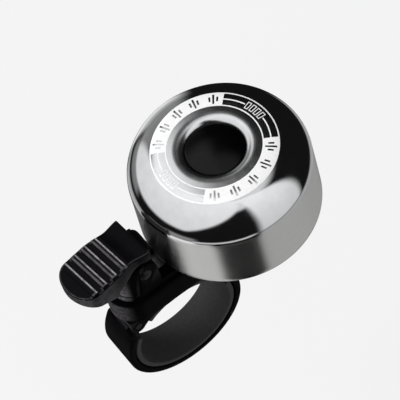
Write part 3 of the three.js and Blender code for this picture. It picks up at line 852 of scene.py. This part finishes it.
def plate_section(v):
    """One closed cross-section of the thumb plate."""
    inset = edge_drop(PLATE_BACK - v, 0.45)
    top = plate_top(v) - inset
    bottom = plate_bottom(v) + inset * 0.6
    half = max(plate_half(v) - inset * 0.5, 0.05)
    foot = min(0.3, half * 0.5)
    right = []
    for k in range(5):
        a = k / 4 * math.pi / 2
        right.append((half - foot + foot * math.sin(a), bottom + foot - foot * math.cos(a)))
    right.append((half, bottom * 0.5 + (top - PLATE_EDGE) * 0.5))
    rim = min(PLATE_EDGE * 1.6, half * 0.7)
    across = [half - rim * (1 - math.cos(k / 8 * math.pi / 2)) for k in range(9)]
    across += [(half - rim) * share for share in (0.66, 0.45, 0.22)]
    for x in across:
        inside = inside_plate(x, v)
        rib = rib_height(v) * smooth((inside - 0.1) / 0.5)
        right.append((x, top + rib - edge_drop(inside, PLATE_EDGE)))
    left = [(-x, z) for x, z in reversed(right)]
    lean = skew(v)
    return [(x, v + lean * x, z) for x, z in right + left]


def lever_plate():
    """The plate, skinned over sections from its back end to its tip."""
    rows = []
    v = PLATE_BACK
    while v > TIP_CENTRE:
        rows.append(v)
        v -= 0.05 if PLATE_BACK - v < 0.5 else 0.1
    steps = 60
    rows += [TIP_CENTRE - TIP_LENGTH * math.sin(k / steps * math.pi / 2) for k in range(steps + 1)]
    loops = [plate_section(v) for v in rows]
    return rings("lever_plate", loops, 60)


def thumb_lever():
    """The plate with its hollow hood, the hub on the pin and the foot that holds the hammer's arm."""
    plate = lever_plate()
    hollow = [(-18.7, 27.0), (-11.5, 27.0), (-11.5, 33.6), (-13.0, 33.2), (-18.7, 32.0)]
    cut(plate, slab_x("hood", hollow, -4.3, 4.3, 0.0))
    hub = rod_x("hub", PIVOT_Y, PIVOT_Z, 3.0, *HUB_X, 0.2, 64)
    web = block("web", *HUB_X, PIVOT_Y - 2.9, PIVOT_Y + 2.9, PIVOT_Z, PLATE_TOP - 1.2, 0.25)
    foot = block("foot", *HUB_X, -7.6, -3.4, LEVER_LOW[2], PIVOT_Z, 0.25)
    heel_outline = rounded([(-2.6, -6.9), (4.6, -6.9), (4.6, -1.2), (-2.6, -1.2)], 2.2, 8)
    heel = slab_z("heel", heel_outline, PLATE_TOP - 4.2, PLATE_TOP - 1.0, 0.5, 4)
    add(plate, hub, web, foot, heel)
    bore = rod_x("bore", PIVOT_Y, PIVOT_Z, 2.3, -9, 9, 0.0, 48)
    rivet = rod_z("rivet", -6.0, 1.1, LEVER_LOW[2] - 1, PIVOT_Z - 1.9, 0.0, -0.8, 32)
    cut(plate, bore, rivet)
    plate.name = "ribbed_lever"
    return finish_piece(plate, "lever", "lever_plastic", LEVER_BLACK, "thumb_lever")


# ---- the base --------------------------------------------------------------------------
BASE_HALF = 6.1
LEDGE = 1.8  # width of the ledge at the rider's end
CHEEK_HALF = 5.3
CHEEK_LEAN = 0.16  # the cheeks' rounded end leans back
CHEEK_Y = (-13.3, -1.8)
CHEEK_R = 3.2  # radius of the cheeks' top, round the pin
GROOVES_Z = (15.9, 17.7, 19.5)
GROOVE = 0.04  # depth of the grooves
SLOT_HALF = 3.15
SADDLE_R = 14.2
SCREW_Y = 20.2
LUG_HALF = 5.5  # half length of the strap's hinge


def base_wall():
    """(side inset, end inset, height) of the base's wall; three fine grooves fade out along its sides."""
    profile = edge_profile(BASE_Z0, LEDGE_Z, 0.45)
    half = len(profile) // 2
    lower = [(inset, inset, z) for inset, z in profile[:half]]
    upper = [(inset, inset, z) for inset, z in profile[half:]]
    grooves = []
    for z in GROOVES_Z:
        grooves += [(0.0, 0.0, z - 0.12), (0.0, GROOVE, z), (0.0, 0.0, z + 0.12)]
    return lower + grooves + upper


def cheek_block():
    """Both cheeks as one block; the slot parts them later."""
    y0 = BASE_LOW[1]
    nose = lambda z: stadium(CHEEK_HALF, y0 + LEDGE + CHEEK_LEAN * (z - LEDGE_Z), 4.0)
    plan = rings("cheek_plan", [[(x, y, z) for x, y in nose(z)] for z in (BASE_Z0 + 1, PIVOT_Z + 8)])
    foot = [(y, BASE_Z1 - 1) for y in CHEEK_Y]
    outline = foot + arc(PIVOT_Y, PIVOT_Z, CHEEK_R, 0, 112, 20) + [(CHEEK_Y[0], 28.0)]
    cheeks = slab_x("cheeks", outline, -CHEEK_HALF - 1, CHEEK_HALF + 1, 0.0)
    combine(cheeks, plan, "INTERSECT")
    tidy(cheeks)
    bevel(cheeks, 0.3, 3, 50)
    return cheeks


def base_body():
    """The block with cheeks, dome post, screw pillar and hinge lug, over a saddle for the bar."""
    y0, y1 = BASE_LOW[1], BASE_HIGH[1]
    plan = lambda side, end: stadium(BASE_HALF - side, y0 + end, y1 - side)
    body = rings("base_block", [[(x, y, z) for x, y in plan(side, end)] for side, end, z in base_wall()])
    upper_wall = edge_profile(LEDGE_Z - 1, BASE_Z1, 0.3)
    upper = stadium_block("upper", CHEEK_HALF, y0 + LEDGE, y1 - 0.7, upper_wall)
    cheeks = cheek_block()
    slot_top = block("slot_top", -SLOT_HALF, SLOT_HALF, -9.5, 12.5, 15.8, PIVOT_Z + 9)
    post_top = node_mm("dome_isolator")[0][2] - 0.3
    post = rod_z("post", DOME_Y, 5.0, BASE_Z1 - 1, post_top, 0.3, segments=64)
    pillar = block("pillar", -5.6, 5.6, 9.0, SCREW_Y + 4.6, 7.4, BASE_Z0 + 1, 0.5)
    web = block("saddle_web", -5.2, 5.2, -9.5, 9.5, 8.0, BASE_Z0 + 1, 0.3)
    lug = block("lug", -LUG_HALF, LUG_HALF, -12.8, -9.0, HINGE_Z, BASE_Z0 + 1, 0.0)
    barrel = rod_x("barrel", HINGE_Y, HINGE_Z, 1.9, -LUG_HALF, LUG_HALF, 0.25, 48)
    add(body, upper, cheeks, post, pillar, web, lug, barrel)
    cut(
        body,
        slot_top,
        rod_z("insert_bore", DOME_Y, 3.3, RIM_Z + 0.9, post_top + 1, 0.0),
        rod_x("saddle", 0, 0, SADDLE_R, -10, 10, 0.0, 128),
        rod_x("pin_bore", PIVOT_Y, PIVOT_Z, 1.25, -10, 10, 0.0),
        block("knuckle_slot", -2.7, 2.7, -15, -8.2, HINGE_Z - 3, BASE_Z0 + 0.5),
        rod_x("hinge_bore", HINGE_Y, HINGE_Z, 1.2, -10, 10, 0.0),
        rod_z("screw_bore", SCREW_Y, 2.7, 6.4, BASE_Z0, 0.0),
        block("nut_pocket", -3.8, 3.8, SCREW_Y - 3.8, SCREW_Y + 6, 8.7, 12.5),
    )
    body.name = "moulded_base"
    return finish_piece(body, "base", "black_plastic", BASE_BLACK, "base_body")


# ---- the clamp -------------------------------------------------------------------------
STRAP_HALF = 5.2
STRAP_T = 1.8
STRAP_END = 377.2  # degrees from +Y round the bar; the strap meets its ear here
KNUCKLE_HALF = 2.4
BAR_R, PAD_R = 12.7, 13.9
PAD_TOP = (0.6, 2.2)  # where a pad starts and ends, in radians from +Y round the bar
PAD_BOTTOM = (2.62, TURN + 0.28)


def band(name, inner, outer, half, start, end, radius, steps=120):
    """A curved band round the bar axis with rounded edges."""
    section = rounded([(inner, -half), (outer, -half), (outer, half), (inner, half)], radius, 4)
    loops = []
    for i in range(steps + 1):
        angle = math.radians(start + (end - start) * i / steps)
        loops.append([(x, r * math.cos(angle), r * math.sin(angle)) for r, x in section])
    return rings(name, loops)


def clamp_strap():
    """The strap, from its hinge knuckle round the bar to the ear under the screw's pillar."""
    start = math.degrees(math.atan2(HINGE_Z, HINGE_Y)) + 3.4
    strap = band("strap", SADDLE_R, SADDLE_R + STRAP_T, STRAP_HALF, start, STRAP_END, 0.45)
    ear_plan = arc(0, SCREW_Y, STRAP_HALF, 0, 180, 32) + [(-STRAP_HALF, 11.0), (STRAP_HALF, 11.0)]
    ear = slab_z("ear", ear_plan, 3.2, 6.0, 0.35)
    cut(ear, rod_x("ear_cut", 0, 0, SADDLE_R, -9, 9, 0.0, 128))
    for side in (-1, 1):
        x0, x1 = sorted((side * KNUCKLE_HALF, side * 9.0))
        cut(strap, block("neck", x0, x1, -20, -5, HINGE_Z - 3.4, 20))
    knuckle = rod_x("knuckle", HINGE_Y, HINGE_Z, 1.7, -KNUCKLE_HALF, KNUCKLE_HALF, 0.2, 40)
    add(strap, knuckle, ear)
    cut(
        strap,
        rod_x("strap_pin_bore", HINGE_Y, HINGE_Z, 1.2, -9, 9, 0.0),
        rod_z("ear_bore", SCREW_Y, 2.3, 2.0, 7.0, 0.0),
    )
    strap.name = "strap_band"
    return finish_piece(strap, "strap", "black_plastic", BASE_BLACK, "clamp_strap")


# ---- the small metal pieces ------------------------------------------------------------
def washer_profile(outer, inner, z0, z1, edge=0.12):
    """(radius, height) section of a washer with chamfered edges."""
    return [
        (inner, z0 + edge), (inner + edge, z0), (outer - edge, z0), (outer, z0 + edge),
        (outer, z1 - edge), (outer - edge, z1), (inner + edge, z1), (inner, z1 - edge),
    ]


def pivot_pin():
    """A pin with a low domed head at +X and a groove for its clip at -X."""
    axis = about_x(PIVOT_Y, PIVOT_Z)
    pin = rod_x("pin_shank", PIVOT_Y, PIVOT_Z, 1.2, -6.4, 5.6, 0.2, 40)
    rim = [(0, 5.35), (1.45, 5.35), (1.45, 5.45)]
    dome = [(1.25, 5.62), (0.9, 5.76), (0.5, 5.84), (0, 5.86)]
    add(pin, turned("pin_head", rim + dome, axis, 48))
    clip_groove = [(0.8, -6.1), (2.5, -6.1), (2.5, -5.5), (0.8, -5.5)]
    cut(pin, turned("groove", clip_groove, axis, 48))
    pin.name = "lever_pin"
    return finish_piece(pin, "base", "black_steel", BLACK_STEEL, "pivot_pin")


def clamp_screw():
    """A screw pointing up, with a hexagon socket in the underside of its head."""
    low, high = node_mm("clamp_screw")
    bottom, end = low[2], high[2]
    seat = bottom + 2.2
    head = [(0, bottom), (3.0, bottom), (3.35, bottom + 0.15), (3.5, bottom + 0.5)]
    collar = [(3.5, seat - 0.15), (3.4, seat)]
    shank = [(2.0, seat), (2.0, end - 0.5), (1.5, end), (0, end)]
    screw = turned("screw", head + collar + shank, about_z(SCREW_Y), 64)
    socket = slab_z("socket", arc(0, SCREW_Y, 1.5, 0, 300, 5), bottom - 0.8, bottom + 1.3, 0.0)
    cut(screw, socket)
    screw.name = "socket_screw"
    return finish_piece(screw, "screw", "zinc_steel", ZINC, "clamp_screw")


def clamp_washer():
    """The washer between the screw's head and the strap's ear."""
    low, high = node_mm("clamp_washer")
    obj = turned("ear_washer", washer_profile(4.0, 2.3, low[2], high[2]), about_z(SCREW_Y), 64)
    return finish_piece(obj, "strap", "zinc_steel", ZINC, "clamp_washer")


def pad(name, node, body, start, end):
    """A rubber pad on the bar; start and end are in radians."""
    obj = band(name, BAR_R, PAD_R, STRAP_HALF, math.degrees(start), math.degrees(end), 0.3, 80)
    return finish_piece(obj, body, "soft_rubber", RUBBER, node)


def pads():
    pad("pad_top", "bar_pad_upper", "base", *PAD_TOP)
    pad("pad_bottom", "bar_pad_lower", "strap", *PAD_BOTTOM)


def paint_carried():
    """Materials for the CAD pieces that stay as they are."""
    paint = {
        "dome_screw": ZINC, "spring_washer": ZINC, "flat_washer": ZINC, "dome_isolator": RUBBER,
        "threaded_insert": BRASS, "lever_bush": BRASS, "pivot_clip": SPRING, "torsion_spring": SPRING,
        "hammer_arm": SPRING, "arm_rivet": ZINC, "hammer_head": BRASS,
        "strap_hinge_pin": BLACK_STEEL, "clamp_nut": ZINC,
    }
    for node, material in paint.items():
        mesh = frame["nodes"][node].data
        mesh.materials.clear()
        mesh.materials.append(material)


# ---- camera, floor and light -----------------------------------------------------------
CAMERA_AZIMUTH = 68.34
CAMERA_ELEVATION = 57.5
CAMERA_ROLL = 17.6
CAMERA_DISTANCE = 429.5
CAMERA_LENS = 171.6
AIM_SHIFT = -6.7  # the aim lies this far along the camera's right, from the rim's centre


def make_camera():
    """Looks at the dome's rim from the photo's side, rolled as the photo is."""
    a, e = math.radians(CAMERA_AZIMUTH), math.radians(CAMERA_ELEVATION)
    back = Vector((math.sin(a) * math.cos(e), -math.cos(a) * math.cos(e), math.sin(e)))
    level = Vector((math.cos(a), math.sin(a), 0))
    right = Matrix.Rotation(-math.radians(CAMERA_ROLL), 3, back) @ level
    up = back.cross(right)
    data = bpy.data.cameras.new("camera")
    data.lens = CAMERA_LENS
    data.sensor_width = 36
    data.clip_start = 0.01
    obj = bpy.data.objects.new("camera", data)
    bpy.context.scene.collection.objects.link(obj)
    centre = Vector((0, DOME_Y, RIM_Z))
    place = (centre + right * AIM_SHIFT + back * CAMERA_DISTANCE) * MM
    turn = Matrix((right, up, back)).transposed().to_4x4()
    obj.matrix_world = Matrix.Translation(place) @ turn
    bpy.context.scene.camera = obj


FLOOR_DROP = 60.0  # from the part's lowest point
FLOOR_REACH = 3000.0
FLOOR_GLOW = 0.815
PALE = 0.896  # brightness of the background that the camera sees


def make_floor():
    """A pale floor that doesn't show in the chrome."""
    z = cad_box[0][2] / MM - FLOOR_DROP
    signs = [(-1, -1), (1, -1), (1, 1), (-1, 1)]
    floor = make_object("floor", [(x * FLOOR_REACH, y * FLOOR_REACH, z) for x, y in signs], [(0, 1, 2, 3)])
    m = Nodes("floor_pale")
    m.set(color=grey(0.08), roughness=0.9)
    m.shader.inputs["Emission Color"].default_value = grey(1.0)
    m.shader.inputs["Emission Strength"].default_value = FLOOR_GLOW
    floor.data.materials.append(m.material)
    floor.visible_glossy = False


# Softboxes: azimuth of the middle (0 is -Y, 90 is +X) and half width, lowest and highest
# elevation, softness of the sides and of the top and bottom, strength at the bottom and top,
# and how far the side with the larger azimuth moves for each degree of elevation.
SOFTBOXES = [
    (-34, 46, 2, 95, 5, 5, 0.76, 0.92, 1.0),
    (-83, 25, 46, 95, 6, 8, 1.0, 1.0, 0.0),
    (-64, 18, -16, 10, 5, 5, 0.20, 0.26, 0.0),
    (45, 65, 59, 95, 10, 6, 0.75, 0.80, 0.0),
    (-90, 17, 0, 36, 4, 6, 0.27, 0.22, 0.0),
    (-97, 11, -42, 4, 4, 4, 0.98, 0.32, 0.0),
    (115, 27, -30, 95, 5, 6, 0.66, 0.98, 0.0),
    (-60, 240, 66, 95, 12, 7, 0.72, 0.72, 0.0),
    (-60, 24, -48, -27, 8, 4, 0.52, 0.40, 0.0),
    (8, 14, -30, -16, 6, 4, 0.26, 0.26, 0.0),
    (8, 27, -95, -38, 6, 5, 0.60, 0.60, 0.0),
    (-62, 9, -95, -52, 6, 5, 0.11, 0.11, 0.0),
    (156, 68, -95, -32, 5, 4, 0.40, 0.40, 0.0),
    (-10, 30, -42, -31, 6, 2, 0.85, 0.85, 0.0),
    (50, 32, -33, -26, 6, 1.5, 0.65, 0.65, 0.0),
    (-99, 6, -95, -50, 4, 5, 0.36, 0.36, 0.0),
]
AMBIENT = 0.007


def studio_light(tree):
    """The softboxes' brightness in each direction."""
    def math_node(operation, a, b=0.0, c=0.0):
        node = tree.nodes.new("ShaderNodeMath")
        node.operation = operation
        for i, value in enumerate((a, b, c)):
            if isinstance(value, bpy.types.NodeSocket):
                tree.links.new(value, node.inputs[i])
            else:
                node.inputs[i].default_value = value
        return node.outputs[0]

    def step(value, low, high, start=0.0, end=1.0):
        node = tree.nodes.new("ShaderNodeMapRange")
        node.interpolation_type = "SMOOTHSTEP"
        tree.links.new(value, node.inputs["Value"])
        for name, number in (("From Min", low), ("From Max", high), ("To Min", start), ("To Max", end)):
            node.inputs[name].default_value = number
        return node.outputs["Result"]

    direction = tree.nodes.new("ShaderNodeTexCoord").outputs["Generated"]
    split = tree.nodes.new("ShaderNodeSeparateXYZ")
    tree.links.new(direction, split.inputs[0])
    x, y, z = split.outputs
    azimuth = math_node("DEGREES", math_node("ARCTAN2", x, math_node("MULTIPLY", y, -1.0)))
    elevation = math_node("DEGREES", math_node("ARCSINE", z))
    total = AMBIENT
    for middle, half, low, high, edge, soft, dim, bright, lean in SOFTBOXES:
        shift = math_node("MULTIPLY", math_node("MAXIMUM", elevation, 0.0), lean / 2)
        turn = math_node("SUBTRACT", math_node("SUBTRACT", azimuth, float(middle)), shift)
        away = math_node("SUBTRACT", math_node("ABSOLUTE", math_node("WRAP", turn, 180.0, -180.0)), shift)
        side = step(away, half + edge, half - edge)
        above = step(elevation, low - soft, low + soft)
        below = step(elevation, high + soft, high - soft)
        level = step(elevation, low, high, dim, bright)
        inside = math_node("MULTIPLY", side, above)
        box = math_node("MULTIPLY", inside, math_node("MULTIPLY", below, level))
        total = math_node("MAXIMUM", box, total)
    return total


def make_world():
    """The softboxes for everything but the camera, which sees a plain pale background."""
    world = bpy.data.worlds.new("studio")
    world.use_nodes = True
    tree = world.node_tree
    tree.nodes.clear()
    studio = tree.nodes.new("ShaderNodeBackground")
    tree.links.new(studio_light(tree), studio.inputs["Color"])
    pale = tree.nodes.new("ShaderNodeBackground")
    pale.inputs["Color"].default_value = grey(PALE)
    rays = tree.nodes.new("ShaderNodeLightPath")
    mix = tree.nodes.new("ShaderNodeMixShader")
    tree.links.new(rays.outputs["Is Camera Ray"], mix.inputs[0])
    tree.links.new(studio.outputs[0], mix.inputs[1])
    tree.links.new(pale.outputs[0], mix.inputs[2])
    output = tree.nodes.new("ShaderNodeOutputWorld")
    tree.links.new(mix.outputs[0], output.inputs[0])
    bpy.context.scene.world = world
    bpy.context.scene.view_settings.view_transform = "Standard"


KEY_SIZE = 0.25
KEY_POWER = 3.1
KEY_AIM = (0, 0, 25)  # in millimetres
KEY_PLACE = (-0.12, -0.42, 0.40)  # in metres, from its aim


def make_key():
    """A soft lamp in front and above, for matt surfaces; the chrome sees only the world's softboxes."""
    data = bpy.data.lights.new("key", "AREA")
    data.shape = "DISK"
    data.size = KEY_SIZE
    data.energy = KEY_POWER
    lamp = bpy.data.objects.new("key", data)
    bpy.context.scene.collection.objects.link(lamp)
    aim = Vector(KEY_AIM) * MM
    lamp.location = aim + Vector(KEY_PLACE)
    lamp.rotation_euler = (lamp.location - aim).to_track_quat("Z", "Y").to_euler()
    lamp.visible_glossy = False


make_camera()
make_world()
make_key()
bell_dome()
ring_print()
centre_cap()
thumb_lever()
base_body()
clamp_strap()
pivot_pin()
clamp_screw()
clamp_washer()
pads()
paint_carried()
make_floor()
